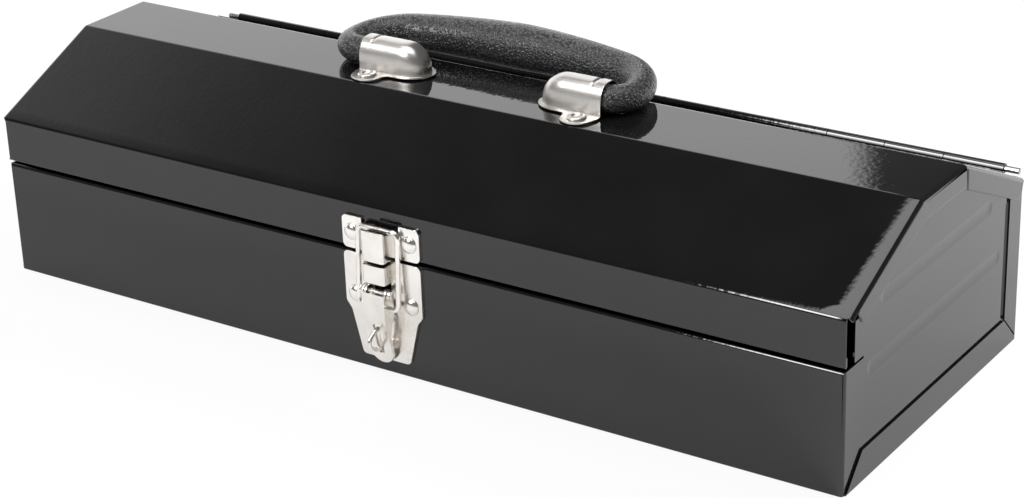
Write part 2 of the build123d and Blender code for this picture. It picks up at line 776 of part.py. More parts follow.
os.makedirs("parts", exist_ok=True)
for name, shape in nodes.items():
    export_step(shape, f"parts/{name}.step")
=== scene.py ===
"""Looks of a hip-roofed steel tool box: paint, plated hardware, pebbled grip and a plain studio."""

import json
import math

import bmesh
import bpy
from bpy.props import FloatProperty, FloatVectorProperty, IntProperty, PointerProperty
from bpy.types import Operator, Panel, PropertyGroup
from mathutils import Euler, Matrix, Vector


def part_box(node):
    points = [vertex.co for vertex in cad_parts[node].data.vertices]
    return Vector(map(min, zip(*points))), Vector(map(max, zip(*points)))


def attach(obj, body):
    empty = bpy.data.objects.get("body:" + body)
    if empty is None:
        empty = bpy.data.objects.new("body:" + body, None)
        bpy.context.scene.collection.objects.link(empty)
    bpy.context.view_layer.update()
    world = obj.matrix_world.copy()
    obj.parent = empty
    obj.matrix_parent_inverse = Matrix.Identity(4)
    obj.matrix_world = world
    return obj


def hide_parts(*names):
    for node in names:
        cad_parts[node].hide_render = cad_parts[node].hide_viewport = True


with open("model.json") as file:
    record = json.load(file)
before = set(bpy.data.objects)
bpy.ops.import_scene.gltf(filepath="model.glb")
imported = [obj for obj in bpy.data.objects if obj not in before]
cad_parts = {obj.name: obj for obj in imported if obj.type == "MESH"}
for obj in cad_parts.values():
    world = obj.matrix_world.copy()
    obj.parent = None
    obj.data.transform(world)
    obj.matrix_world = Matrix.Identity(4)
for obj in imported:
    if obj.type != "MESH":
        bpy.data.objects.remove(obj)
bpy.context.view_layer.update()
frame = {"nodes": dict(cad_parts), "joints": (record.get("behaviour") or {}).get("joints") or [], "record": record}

bl_info = {
    "name": "Tool Box Looks",
    "version": (1, 0, 0),
    "blender": (4, 5, 0),
    "location": "3D View > Sidebar > Tool Box",
    "description": "Dresses the packed tool box with paint, plating, vinyl and a studio",
    "category": "Object",
}

MM = 0.001
NODES = frame["nodes"]
JOINTS = {joint["name"]: joint for joint in frame["joints"]}
BODY_OF = {node: body for body, nodes in frame["record"]["behaviour"]["bodies"].items() for node in nodes}
ROOF_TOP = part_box("lid_shell")[1].z
HANDLE_AXIS = Vector(JOINTS["handle_swing"]["pos_m"])
EAVE = 69.5 * MM  # over this height the lid's slopes begin
MERGE = 0.002 * MM  # points nearer than this are one
NEAR = 0.01 * MM  # places nearer than this lie on the same face
RIVET_REACH = 8 * MM  # a rivet is no wider than this
SLACK = 0.001 * MM  # rounding of a place along a line
FOLD_STEPS = 8
HEAD_RINGS = 18
WIRE_SIDES = 32
GRIP_SIDES = 96
PIN_ROUND = 0.9 * MM
TAIL_SHARE = 0.62  # size of a rivet's tail beside its head
ENAMEL_IOR = 1.55
ENAMEL_CLOUD = 35 * MM
NICKEL_CLOUD = 14 * MM
VINYL_CLOUD = 20 * MM
MARK_DEPTH = 0.0012 * MM
MARK_ROUGHNESS = 0.05
FLOOR_HALF = 6.0
FLOOR_DROP = 0.4 * MM
ROOM_LIGHT, WALL_LIGHT, FOOT_LIGHT = 0.15, 1.75, 0.9
ROOF_LIGHT, WINDOW_LIGHT, FRONT_LIGHT = 4.0, 26.0, 0.06


# Settings

def length(name, description, millimetres):
    """A length, with its default in millimetres."""
    return FloatProperty(name=name, description=description, subtype="DISTANCE", unit="LENGTH",
                         precision=5, default=millimetres * MM)


def angle(name, description, degrees):
    """An angle, with its default in degrees."""
    return FloatProperty(name=name, description=description, subtype="ANGLE", unit="ROTATION",
                         default=math.radians(degrees))


def portion(name, description, default):
    """A number between 0 and 1."""
    return FloatProperty(name=name, description=description, subtype="FACTOR", min=0, max=1,
                         default=default)


def colour(name, description, red, green, blue):
    """An opaque colour."""
    return FloatVectorProperty(name=name, description=description, subtype="COLOR", size=4, min=0, max=1,
                               default=(red, green, blue, 1))


class PaintSettings(PropertyGroup):
    colour: colour("Enamel", "Colour of the black enamel", 0.0030, 0.0030, 0.0032)
    thin_colour: colour("Thin enamel", "Enamel where it lies thinner", 0.0045, 0.0045, 0.0048)
    smooth: portion("Smoothest", "Lowest roughness of the enamel", 0.02)
    rough: portion("Roughest", "Highest roughness of the enamel", 0.045)
    peel_size: length("Peel size", "Width of the enamel's orange-peel waves", 2.2)
    peel_depth: length("Peel depth", "Height of the orange-peel waves", 0.016)
    wave_size: length("Sheet wave", "Width of the slow waves in the folded sheet", 70)
    wave_depth: length("Wave depth", "Height of the slow waves", 0.05)
    roll_width: length("Roll width", "How far in from its end the lid begins to roll over", 13)
    roll_drop: length("Roll drop", "How far the lid has dropped at its end", 0.8)
    eave_width: length("Eave roll", "How far up from the eave the front slope begins to roll over", 5.5)
    eave_drop: length("Eave drop", "How far the front slope has dropped at the eave", 0.36)


class BodySettings(PropertyGroup):
    hem_fold: length("Hem fold", "Outside radius of the fold along the top of the front wall", 1.25)
    hem_end: length("Hem end", "Where the rounded hem stops before the corner", 201.4)


class LidSettings(PropertyGroup):
    sheet: length("Sheet", "Thickness of the lid's sheet", 0.8)
    lip: length("Lip", "Height of the front lip up to the eave", 19.3)
    hem: length("Hem", "Height of the lip's hem, folded back inside", 4.0)
    roof_half: length("Half roof", "Half width of the flat top", 19)
    eave_fold: length("Eave fold", "Outside radius of the fold at the eave", 1.7)
    roof_fold: length("Roof folds", "Outside radius of the two roof folds", 2.6)
    verge: length("Verge fold", "Outside radius of the fold along the lid's two ends", 2.0)
    flange: length("Flange", "Depth of the end flanges below the roof", 9.2)
    flange_start: length("Flange start", "First end of the flange behind the lip", 5.5)
    flange_round: length("Flange corners", "Radius of the flange's lower corners", 3.5)
    slit: length("Slit", "Width of the slit in the flange at the rear roof fold", 0.8)
    edge: length("Sheet edge", "Rounding of the sheet's cut edges", 0.7)


class NickelSettings(PropertyGroup):
    colour: colour("Nickel", "Colour of the bright nickel plate", 0.89, 0.865, 0.835)
    warm_colour: colour("Warm nickel", "Nickel where the plate has yellowed a little", 0.79, 0.755, 0.71)
    smooth: portion("Smoothest", "Lowest roughness of the plate", 0.17)
    rough: portion("Roughest", "Highest roughness of the plate", 0.25)
    hairline: length("Hairline", "Width of the drawing marks in the stampings", 0.18)
    edge: length("Stamped edge", "Rounding of the stamped plates' edges", 0.28)


class GripSettings(PropertyGroup):
    colour: colour("Vinyl", "Colour of the grip", 0.018, 0.018, 0.019)
    # Pebble tops: a lighter colour as a painted highlight where light catches the grain.
    painted_highlight_colour: colour("Pebble tops", "Colour on top of the pebbles", 0.074, 0.074, 0.075)
    pebble: length("Pebble", "Size of the pebbles in the vinyl", 1.0)
    depth: length("Pebble depth", "Height of the pebbles", 0.30)
    smooth: portion("Smoothest", "Lowest roughness of the vinyl", 0.25)
    rough: portion("Roughest", "Highest roughness of the vinyl", 0.34)
    end_radius: length("End radius", "Radius of the grip at its ends and small bends", 5.8)
    middle_radius: length("Middle radius", "Radius of the grip in its middle", 9.7)
    reach: length("Reach", "Centre line's furthest point from the middle", 69)
    bend: length("Bend", "Centre line radius at the bracket", 7.5)
    shoulder: length("Shoulder", "Centre line radius at the shoulder", 22)
    crown: angle("Crown", "Slope of the centre line where the crown begins", 10)
    inner_end: length("Inner end", "End of the grip inside its bracket", 49.3)
    fullness: FloatProperty(name="Fullness", description="How soon the grip swells from its shoulders",
        min=0.5, max=4, default=1.35)
    slide: length("Slide", "How far the grip lies to one side in its play", -1.6)
    tilt: angle("Tilt", "How far the grip lies back from upright", 89)


class BracketSettings(PropertyGroup):
    sheet: length("Sheet", "Thickness of the stamped sheet", 1.0)
    open_end: length("Open end", "Open end of the dome from the middle of the box", 59.3)
    nose: length("Nose", "Tip of the bracket's rim", 26.8)
    dome_nose: length("Dome nose", "Tip of the dome", 29.1)
    dome_length: length("Nose length", "Length of the rounded nose", 11.5)
    dome_half: length("Half width", "Half width of the dome", 7.3)
    dome_height: length("Height", "Height of the dome over the lid", 13.6)
    rim: length("Rim", "Width of the flat rim beside the dome", 2.3)
    ear_place: length("Ear place", "Rivet ear along the box", 51.5)
    ear_reach: length("Ear reach", "Rivet ear from the handle's axis", 12.2)
    ear_radius: length("Ear radius", "Radius of a rivet ear", 7.0)
    ear_blend: length("Ear blend", "Width of the hollow between an ear and the rim", 3.2)
    crimp: length("Crimp", "Crimp line across the dome, from its open end", 5.2)
    edge: length("Stamped edge", "Rounding of the sheet's edges", 0.25)


class RivetSettings(PropertyGroup):
    latch_head: length("Latch rivet", "Head diameter of the latch rivets", 7.2)
    latch_dome: length("Latch dome", "Height of the latch rivets' heads", 1.7)
    handle_head: length("Handle rivet", "Head diameter of the handle rivets", 8.2)
    handle_dome: length("Handle dome", "Height of the handle rivets' heads", 1.3)
    handle_dimple: portion("Dimple", "Share of the handle rivets' height that the hollow takes", 0.75)
    latch_flatness: FloatProperty(
        name="Latch flatness", description="How flat the latch rivets are", min=1, max=12, default=2.1)
    handle_flatness: FloatProperty(
        name="Handle flatness", description="How flat the handle rivets are", min=1, max=12, default=7.0)
    segments: IntProperty(name="Segments", description="Sides of a rivet head", min=12, max=96, default=48)


class StageSettings(PropertyGroup):
    camera_place: FloatVectorProperty(
        name="Camera", description="Place of the camera", subtype="TRANSLATION", unit="LENGTH",
        size=3, default=(0.55974, -0.79426, 0.45561))
    camera_turn: FloatVectorProperty(
        name="Camera turn", description="Rotation of the camera", subtype="EULER", unit="ROTATION",
        size=3, default=(math.radians(66.0448), math.radians(1.9126), math.radians(33.8511)))
    lens: FloatProperty(
        name="Lens", description="Focal length on a 36 mm wide sensor", unit="CAMERA", default=89.032)
    floor_colour: colour("Floor", "Colour of the floor", 0.72, 0.72, 0.72)
    floor_seen: portion("Floor seen", "Share of plain white in the floor that the camera sees", 0.88)
    floor_mirrored: portion("Floor mirrored", "Share of plain white in the floor that is mirrored", 0.4)
    end_place: FloatVectorProperty(
        name="End light", description="Place of the lamp beside the end panel", subtype="TRANSLATION",
        unit="LENGTH", size=3, default=(0.95, 0.85, 0.75))
    end_target: FloatVectorProperty(
        name="End light target", description="Place on the floor that the lamp looks at",
        subtype="TRANSLATION", unit="LENGTH", size=3, default=(0.42, 0.28, 0))
    end_size: length("End light size", "Width of the lamp", 600)
    end_power: FloatProperty(
        name="End light power", description="Power of the lamp", subtype="POWER", unit="POWER", default=32)


# Shader groups

def new_group(name, inputs, outputs, kind="ShaderNodeTree"):
    """A node group with named sockets: its tree, the sockets it reads from and those it ends in."""
    tree = bpy.data.node_groups.new(name, kind)
    for side, sockets in (("INPUT", inputs), ("OUTPUT", outputs)):
        for label, form in sockets.items():
            tree.interface.new_socket(label, in_out=side, socket_type="NodeSocket" + form)
    return tree, tree.nodes.new("NodeGroupInput").outputs, tree.nodes.new("NodeGroupOutput").inputs


def adjust(thing, **settings):
    """Set several properties of a thing."""
    for key, value in settings.items():
        setattr(thing, key, value)
    return thing


def feed(tree, socket, value):
    """Link an input to a socket, or set a plain value on it."""
    if isinstance(value, bpy.types.NodeSocket):
        tree.links.new(value, socket)
    else:
        socket.default_value = value


def add(tree, kind, inputs=None, **settings):
    """Add a node, set its properties and feed its inputs."""
    node = adjust(tree.nodes.new(kind), **settings)
    for key, value in (inputs or {}).items():
        feed(tree, node.inputs[key], value)
    return node


def math_node(tree, operation, *operands):
    """The result of a Math node; its operands are sockets or numbers."""
    return add(tree, "ShaderNodeMath", dict(enumerate(operands)), operation=operation).outputs[0]


def fade(tree, value, start, end):
    """A smooth rise from 0 at the start to 1 at the end."""
    inputs = {"Value": value, "From Min": start, "From Max": end}
    return add(tree, "ShaderNodeMapRange", inputs, interpolation_type="SMOOTHSTEP").outputs[0]


def noise(tree, vector, size, **inputs):
    """Noise with waves of one size."""
    inputs.update(Vector=vector, Scale=math_node(tree, "DIVIDE", 1.0, size))
    return add(tree, "ShaderNodeTexNoise", inputs, noise_dimensions="3D").outputs[0]


def mottle_group():
    """Cloudy change between two values, for roughness and colour masks."""
    tree, source, result = new_group(
        "Mottle", {"Vector": "Vector", "Size": "Float", "Low": "Float", "High": "Float"},
        {"Value": "Float", "Mask": "Float"})
    cloud = noise(tree, source["Vector"], source["Size"], Detail=4.0, Roughness=0.55)
    mask = fade(tree, cloud, 0.30, 0.70)
    value = add(tree, "ShaderNodeMapRange", {
        "Value": mask, "To Min": source["Low"], "To Max": source["High"]})
    feed(tree, result["Mask"], mask)
    feed(tree, result["Value"], value.outputs[0])
    return tree


def waves_group():
    """Soft waves of one size and height, in metres, for a Bump node's Height."""
    tree, source, result = new_group(
        "Waves", {"Vector": "Vector", "Size": "Float", "Depth": "Float"}, {"Height": "Float"})
    waves = noise(tree, source["Vector"], source["Size"], Detail=1.0, Roughness=0.4)
    feed(tree, result["Height"], math_node(tree, "MULTIPLY", waves, source["Depth"]))
    return tree


def hairline_group():
    """Fine parallel marks along one axis of the vector, as a mask and a height in metres."""
    tree, source, result = new_group(
        "Hairlines", {"Vector": "Vector", "Width": "Float", "Stretch": "Vector", "Depth": "Float"},
        {"Mask": "Float", "Height": "Float"})
    squeeze = add(tree, "ShaderNodeVectorMath", {0: source["Vector"], 1: source["Stretch"]},
                  operation="MULTIPLY")
    marks = noise(tree, squeeze.outputs[0], source["Width"], Detail=2.0)
    mask = add(tree, "ShaderNodeMapRange", {"Value": marks, "From Min": 0.35, "From Max": 0.65}).outputs[0]
    feed(tree, result["Mask"], mask)
    feed(tree, result["Height"], math_node(tree, "MULTIPLY", mask, source["Depth"]))
    return tree


def verge_group():
    """How far a lid has rolled down towards its end and its front eave, in metres."""
    sizes = ("Width", "Drop", "End", "Eave Width", "Eave Drop", "Front", "Eave")
    tree, source, result = new_group(
        "Rolled verges", {"Vector": "Vector", **dict.fromkeys(sizes, "Float")}, {"Height": "Float"})
    place = add(tree, "ShaderNodeSeparateXYZ", {0: source["Vector"]}).outputs

    def fall(past, width, drop):
        share = math_node(tree, "DIVIDE", math_node(tree, "MAXIMUM", past, 0.0), source[width])
        return math_node(tree, "MULTIPLY", math_node(tree, "MULTIPLY", share, share), source[drop])

    start = math_node(tree, "SUBTRACT", source["End"], source["Width"])
    end_fall = fall(math_node(tree, "SUBTRACT", place["X"], start), "Width", "Drop")
    start = math_node(tree, "ADD", source["Front"], source["Eave Width"])
    eave_fall = fall(math_node(tree, "SUBTRACT", start, place["Y"]), "Eave Width", "Eave Drop")
    above = math_node(tree, "GREATER_THAN", place["Z"], source["Eave"])
    both = math_node(tree, "ADD", end_fall, eave_fall)
    feed(tree, result["Height"], math_node(tree, "MULTIPLY", both, above))
    return tree


GROUPS = {
    "Mottle": mottle_group,
    "Waves": waves_group,
    "Hairlines": hairline_group,
    "Rolled verges": verge_group,
}


def place_group(tree, name, vector, values):
    """Put a shared shader group into a material with its own values; gives the group's outputs."""
    group = bpy.data.node_groups.get(name) or GROUPS[name]()
    return add(tree, "ShaderNodeGroup", {"Vector": vector, **values}, node_tree=group).outputs


# Materials

def new_material(name):
    """A material with a Principled shader, the surface's Object coordinates and its tree."""
    material = bpy.data.materials.new(name)
    material.use_nodes = True
    tree = material.node_tree
    shader = tree.nodes["Principled BSDF"]
    coords = add(tree, "ShaderNodeTexCoord").outputs["Object"]
    return material, tree, shader, coords


def blend_colours(tree, mask, low, high):
    """A change from one colour to another by a mask."""
    mix = add(tree, "ShaderNodeMix", {"Factor": mask, "A": low, "B": high}, data_type="RGBA")
    return mix.outputs["Result"]


def bump(tree, shader, height):
    """Feed a height in metres to the shader's normal."""
    node = add(tree, "ShaderNodeBump", {"Strength": 1.0, "Distance": 1.0, "Height": height})
    feed(tree, shader.inputs["Normal"], node.outputs["Normal"])


def enamel_material():
    """Gloss black enamel with a faint orange peel over a sheet that isn't quite flat."""
    found = bpy.data.materials.get("black_enamel")
    if found:
        return found
    look = bpy.context.scene.toolbox_paint
    material, tree, shader, coords = new_material("black_enamel")
    shader.inputs["IOR"].default_value = ENAMEL_IOR
    cloud = place_group(tree, "Mottle", coords, {
        "Size": ENAMEL_CLOUD, "Low": look.smooth, "High": look.rough})
    feed(tree, shader.inputs["Roughness"], cloud["Value"])
    feed(tree, shader.inputs["Base Color"],
         blend_colours(tree, cloud["Mask"], look.colour, look.thin_colour))
    peel = place_group(tree, "Waves", coords, {"Size": look.peel_size, "Depth": look.peel_depth})
    slow = place_group(tree, "Waves", coords, {"Size": look.wave_size, "Depth": look.wave_depth})
    height = math_node(tree, "ADD", peel["Height"], slow["Height"])
    low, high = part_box("lid_shell")
    roll = place_group(tree, "Rolled verges", coords, {
        "Width": look.roll_width, "Drop": look.roll_drop, "End": high.x, "Eave Width": look.eave_width,
        "Eave Drop": look.eave_drop, "Front": low.y, "Eave": EAVE})
    bump(tree, shader, math_node(tree, "SUBTRACT", height, roll["Height"]))
    return material


def nickel_material(name="bright_nickel", stretch=(1.0, 1.0, 0.05), dark=1.0, dull=0.0):
    """Bright nickel plate over stamped steel, with drawing marks along one axis."""
    found = bpy.data.materials.get(name)
    if found:
        return found
    look = bpy.context.scene.toolbox_nickel
    material, tree, shader, coords = new_material(name)
    shader.inputs["Metallic"].default_value = 1.0
    cloud = place_group(tree, "Mottle", coords, {
        "Size": NICKEL_CLOUD, "Low": look.smooth + dull, "High": look.rough + dull})
    marks = place_group(tree, "Hairlines", coords, {
        "Width": look.hairline, "Stretch": stretch, "Depth": MARK_DEPTH})
    rough = math_node(tree, "MULTIPLY_ADD", marks["Mask"], MARK_ROUGHNESS, cloud["Value"])
    feed(tree, shader.inputs["Roughness"], rough)
    tints = [[channel * dark for channel in tint[:3]] + [1] for tint in (look.colour, look.warm_colour)]
    feed(tree, shader.inputs["Base Color"], blend_colours(tree, cloud["Mask"], *tints))
    bump(tree, shader, marks["Height"])
    return material


def brushed_nickel():
    """The duller plate of the stamped brackets, with marks across the dome; its colour is darkened to 0.70 as
    painted shade, standing in for dimmer light on the brackets and their rivets.
    """
    # Colour factor 0.70: painted shade for dimmer light on the brackets; the added roughness is the duller plate.
    return nickel_material("brushed_nickel", (1.0, 0.3, 0.05), 0.70, 0.10)


def vinyl_material():
    """Soft black vinyl with a fine pebbled grain; its pebble tops are painted lighter, a painted highlight where
    light catches the grain.
    """
    look = bpy.context.scene.toolbox_grip
    material, tree, shader, coords = new_material("pebbled_vinyl")
    warp_pitch, warp_reach, softness, valley, top = 0.7, 0.5, 0.55, 0.62, 0.08  # in pebbles
    bend = add(tree, "ShaderNodeTexNoise", {
        "Vector": coords, "Scale": warp_pitch / look.pebble, "Detail": 2.0}, noise_dimensions="3D")
    shift = add(tree, "ShaderNodeVectorMath", {
        0: bend.outputs["Color"], 1: [look.pebble * warp_reach] * 3, 2: coords}, operation="MULTIPLY_ADD")
    cells = add(tree, "ShaderNodeTexVoronoi", feature="SMOOTH_F1")
    for key, value in (("Vector", shift.outputs[0]), ("Scale", 1 / look.pebble), ("Smoothness", softness)):
        feed(tree, cells.inputs[key], value)
    tops = fade(tree, cells.outputs["Distance"], valley, top)
    # The pebble tops get the lighter colour as a painted highlight.
    feed(tree, shader.inputs["Base Color"], blend_colours(tree, tops, look.colour, look.painted_highlight_colour))
    cloud = place_group(tree, "Mottle", coords, {
        "Size": VINYL_CLOUD, "Low": look.smooth, "High": look.rough})
    feed(tree, shader.inputs["Roughness"], cloud["Value"])
    bump(tree, shader, math_node(tree, "MULTIPLY", tops, look.depth))
    return material


# Pieces

def add_object(name, mesh):
    """Link a mesh as an object that sits at the origin."""
    piece = bpy.data.objects.new(name, mesh)
    bpy.context.scene.collection.objects.link(piece)
    return piece


def upright_mesh(name, shape):
    """A mesh of a finished shape, smooth or flat as its faces are, with its top facing up."""
    bmesh.ops.recalc_face_normals(shape, faces=shape.faces)
    top = max(shape.faces, key=lambda face: face.calc_center_median().z)
    if top.normal.z < 0:
        bmesh.ops.reverse_faces(shape, faces=shape.faces)
    mesh = bpy.data.meshes.new(name)
    shape.to_mesh(mesh)
    shape.free()
    return mesh


def settled(piece):
    """Turn a piece's modifiers into plain mesh."""
    bpy.context.view_layer.update()
    graph = bpy.context.evaluated_depsgraph_get()
    mesh = bpy.data.meshes.new_from_object(piece.evaluated_get(graph), depsgraph=graph)
    old = piece.data
    piece.modifiers.clear()
    piece.data = mesh
    mesh.name = piece.name
    if old.users == 0:
        bpy.data.meshes.remove(old)
    return piece


def dress(node, material):
    """Give a CAD node its material and leave its shape alone."""
    NODES[node].data.materials.clear()
    NODES[node].data.materials.append(material)


def stands_for(piece, body, slot, *nodes):
    """Let a finished piece ride its body in place of CAD nodes."""
    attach(piece, body)
    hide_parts(*nodes)


def joined_copy(node):
    """A copy of a CAD node with its triangles joined into whole faces."""
    mesh = NODES[node].data.copy()
    mesh.materials.clear()
    shape = bmesh.new()
    shape.from_mesh(mesh)
    bmesh.ops.remove_doubles(shape, verts=shape.verts, dist=MERGE)
    bmesh.ops.dissolve_limit(shape, angle_limit=math.radians(0.25), verts=shape.verts, edges=shape.edges)
    for face in shape.faces:
        face.smooth = True
    shape.to_mesh(mesh)
    shape.free()
    for name in ("custom_normal", "sharp_edge", "sharp_face"):
        layer = mesh.attributes.get(name)
        if layer:
            mesh.attributes.remove(layer)
    return mesh


def rounded(piece, width, segments, limit):
    """Round a piece's edges and shade its flats as flat."""
    adjust(piece.modifiers.new("Soft edges", "BEVEL"), width=width, segments=segments, limit_method=limit,
           angle_limit=math.radians(38), use_clamp_overlap=limit == "ANGLE", miter_outer="MITER_ARC")
    adjust(piece.modifiers.new("Flat faces", "WEIGHTED_NORMAL"), weight=100, keep_sharp=True)
    return settled(piece)


def softened(node, width, segments=3):
    """A copy of a CAD node with its sharp edges rounded."""
    return rounded(add_object(node + "_finish", joined_copy(node)), width, segments, "ANGLE")


def fold_line(points, radii):
    """A line in Y and Z with an arc in place of each inner corner: places with their outward normals."""
    points = [Vector(point) for point in points]
    ways = [(b - a).normalized() for a, b in zip(points, points[1:])]
    sides = [Vector((-way.y, way.x)) for way in ways]
    line = [(points[0], sides[0])]
    corners = zip(points[1:], radii, ways, ways[1:], sides, sides[1:])
    for corner, radius, way, after, side, beyond in corners:
        turn = way.angle(after)
        if radius == 0 or turn < 1e-6:
            line.append((corner, (side + beyond).normalized()))
            continue
        start = corner - way * radius * math.tan(turn / 2)
        outward = 1 if way.cross(after) < 0 else -1
        centre = start - side * radius * outward
        for i in range(FOLD_STEPS + 1):
            share = i / FOLD_STEPS
            normal = side * math.sin((1 - share) * turn) + beyond * math.sin(share * turn)
            normal /= math.sin(turn)
            line.append((centre + normal * radius * outward, normal))
    return line + [(points[-1], sides[-1])]


def lid_shape(look):
    """The lid's outer face: hemmed lip, two slopes and a flat top, rolled over into the end flanges."""
    low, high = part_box("lid_shell")
    eave = low.z + look.lip
    roof = high.z
    fall = (roof - eave) / (-look.roof_half - low.y)
    slant = math.sqrt(1 + fall ** 2)

    def roof_at(y, depth=0.0):
        return min(roof - depth, roof - (abs(y) - look.roof_half) * fall - depth * slant)

    slit_start = look.roof_half + look.slit
    slit_end = slit_start + look.slit
    start = low.y + look.flange_start
    turn_back = 2 * look.sheet
    hem = [(low.y + turn_back, low.z + look.hem), (low.y + turn_back, low.z), (low.y, low.z)]
    line = hem + [(low.y, eave), (start, roof_at(start)), (-look.roof_half, roof), (look.roof_half, roof)]
    line += [(slit_start, roof_at(slit_start)), (slit_end, roof_at(slit_end)), (high.y, roof_at(high.y))]
    hem_fold = 0.999 * look.sheet  # so that the hem's two arcs keep a flat between them
    radii = [hem_fold, hem_fold, look.eave_fold, 0, look.roof_fold, look.roof_fold, 0, 0]
    rows = fold_line(line, radii)
    eave_end = max(i for i, (place, normal) in enumerate(rows) if place.x < low.y + look.eave_fold)

    shape = bmesh.new()
    rolls = [math.pi / 2 * i / FOLD_STEPS for i in range(FOLD_STEPS + 1)]
    start_x = high.x - look.verge
    grid = []
    for i, (place, normal) in enumerate(rows):
        columns = [(-1, 0.0), (1, 0.0)]
        if i >= eave_end:
            columns = [(-1, roll) for roll in reversed(rolls)] + [(1, roll) for roll in rolls]
        row = []
        for side, roll in columns:
            point = place - normal * look.verge * (1 - math.cos(roll))
            x = side * (start_x + look.verge * math.sin(roll))
            row.append(shape.verts.new((x, point.x, point.y)))
        grid.append(row)
    for a, b in zip(grid, grid[1:]):
        if len(a) < len(b):
            b = b[FOLD_STEPS:FOLD_STEPS + 2]
        for j in range(len(a) - 1):
            shape.faces.new((a[j], a[j + 1], b[j + 1], b[j]))

    depth = look.flange
    inner = look.roof_half - depth * (slant - 1) / fall
    lean = depth * fall / slant
    front_low = [(slit_start, roof_at(slit_start, look.verge)), (slit_start, roof_at(slit_start, depth)),
                 (inner, roof - depth), (-inner, roof - depth),
                 (start + lean, roof_at(start + lean, depth)), (start, roof_at(start))]
    rear = high.y - look.flange_start / 2
    rear_low = [(high.y, roof_at(high.y)), (rear, roof_at(rear, depth)),
                (slit_end, roof_at(slit_end, depth)), (slit_end, roof_at(slit_end))]
    for first, last, lower, radii in (
            (start, slit_start, front_low, [0, 0, 0, look.flange_round]),
            (slit_end, high.y, rear_low, [look.flange_round, 0])):
        upper = [i for i, (place, normal) in enumerate(rows)
                 if i >= eave_end and first - SLACK <= place.x <= last + SLACK]
        lower = [place for place, normal in fold_line(lower, radii)][1:-1]
        for side, column in ((-1, 0), (1, -1)):
            ring = [grid[i][column] for i in upper]
            ring += [shape.verts.new((side * high.x, place.x, place.y)) for place in lower]
            shape.faces.new(ring)
    return upright_mesh("lid", shape)


def folded_lid(look):
    """The lid with its sheet's thickness and softened cut edges."""
    piece = add_object("lid_shell_finish", lid_shape(look))
    adjust(piece.modifiers.new("Sheet", "SOLIDIFY"), thickness=look.sheet, offset=-1.0,
           use_even_offset=True)
    settled(piece)
    low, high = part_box("lid_shell")
    shape = bmesh.new()
    shape.from_mesh(piece.data)
    weights = shape.edges.layers.float.new("bevel_weight_edge")
    for edge in shape.edges:
        if len(edge.link_faces) != 2 or edge.calc_face_angle() < math.radians(50):
            continue
        outside = all(abs(vert.co.x) > high.x - NEAR for vert in edge.verts)
        lip_end = all(vert.co.y < low.y + NEAR for vert in edge.verts)
        edge[weights] = 1.0 if outside or lip_end else 0.0
        edge.smooth = outside or lip_end
    for face in shape.faces:
        face.smooth = True
    shape.to_mesh(piece.data)
    shape.free()
    return rounded(piece, look.edge, 4, "WEIGHT")


def corner_key(place):
    """A place rounded so that it can be looked up."""
    return tuple(round(value / NEAR) for value in place)


def hemmed_wrap(look):
    """The body's wrapped sheet with a rounder fold along the top of its front wall."""
    mesh = NODES["body_wrap"].data.copy()
    mesh.materials.clear()
    known = {}
    for face in mesh.polygons:
        known[corner_key(face.center)] = {
            corner_key(mesh.vertices[mesh.loops[i].vertex_index].co): mesh.corner_normals[i].vector.copy()
            for i in face.loop_indices}
    shape = bmesh.new()
    shape.from_mesh(mesh)
    bmesh.ops.remove_doubles(shape, verts=shape.verts, dist=MERGE)
    shape.to_mesh(mesh)
    shape.free()
    places = [vert.co for vert in mesh.vertices]
    normals = []
    for face in mesh.polygons:
        corners = known.get(corner_key(face.center), {})
        for i in face.loop_indices:
            key = corner_key(places[mesh.loops[i].vertex_index])
            normals.append(corners.get(key, face.normal.copy()))
    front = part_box("body_wrap")[0].y
    radius = look.hem_fold
    hem = [place.z for place in places if abs(place.x) < look.hem_end and place.y < front + radius]
    start = max(hem) - radius

    def inset_of(place):
        """How far a place on the hem stands out from the fold's middle; below zero elsewhere."""
        on_hem = abs(place.x) < look.hem_end and place.z > start
        return radius - (place.y - front) if on_hem else -1.0

    for loop, normal in zip(mesh.loops, normals):
        inset = inset_of(places[loop.vertex_index])
        if inset >= 0 and normal.y < 0.5 and abs(normal.x) < 0.5:
            normal.xyz = (0, -inset / radius, math.sqrt(max(0.0, 1 - (inset / radius) ** 2)))
    for place in places:
        inset = inset_of(place)
        if inset >= 0:
            place.z = min(place.z, start + math.sqrt(max(0.0, radius ** 2 - inset ** 2)))
    mesh.normals_split_custom_set(normals)
    return add_object("body_wrap_finish", mesh)


class TOOLBOX_OT_sheets(Operator):
    """Paint the body and the lid"""
    bl_idname = "toolbox.sheets"
    bl_label = "Painted sheets"

    def execute(self, context):
        for node in ("body_bottom", "body_back"):
            dress(node, enamel_material())
        wrap = hemmed_wrap(context.scene.toolbox_body)
        lid = folded_lid(context.scene.toolbox_lid)
        for piece, node in ((wrap, "body_wrap"), (lid, "lid_shell")):
            piece.data.materials.append(enamel_material())
            stands_for(piece, BODY_OF[node], "black_paint", node)
        return {"FINISHED"}


class TOOLBOX_OT_hinge(Operator):
    """Paint the piano hinge and give its pin bare steel"""
    bl_idname = "toolbox.hinge"
    bl_label = "Piano hinge"

    def execute(self, context):
        dress("hinge_leaf_body", enamel_material())
        dress("hinge_leaf_lid", enamel_material())
        steel = nickel_material("drawn_steel", (0.05, 1.0, 1.0), 0.45)
        dress("handle_core", steel)
        pin = softened("hinge_pin", PIN_ROUND, segments=5)
        pin.data.materials.append(steel)
        stands_for(pin, BODY_OF["hinge_pin"], "bare_steel", "hinge_pin")
        return {"FINISHED"}


